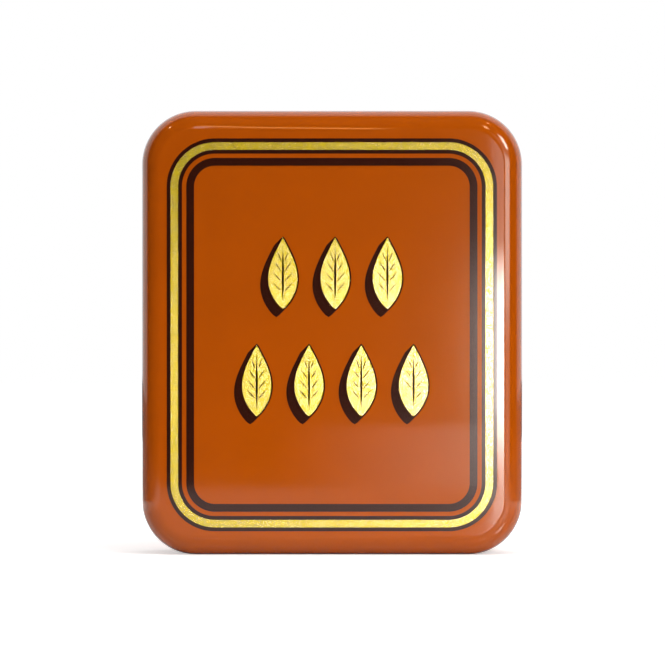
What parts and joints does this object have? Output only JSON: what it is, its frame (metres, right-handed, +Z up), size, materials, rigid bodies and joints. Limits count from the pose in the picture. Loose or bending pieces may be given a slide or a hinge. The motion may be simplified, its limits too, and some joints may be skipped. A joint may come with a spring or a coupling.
{
  "type": "tea tin",
  "caption": "Shut pocket tea tin of printed tinplate, a flat box with rounded corners whose slip lid has a curled hem and whose back end is seamed on.",
  "frame": {"origin": "on the ground, under the middle of the tin as it stands on a short end", "axes": "+X across the lid to the right as one faces it, +Y from the lid's face to the back of the base, +Z up the lid"},
  "size_m": [0.084, 0.027, 0.098],
  "materials": {
    "printed_tinplate": "gloss",
    "lacquered_tinplate": "gloss",
    "gold_print": "satin",
    "dark_print": "gloss"
  },
  "bodies": {
    "root": {"lid": "printed_tinplate", "base": "lacquered_tinplate"}
  },
  "joints": []
}
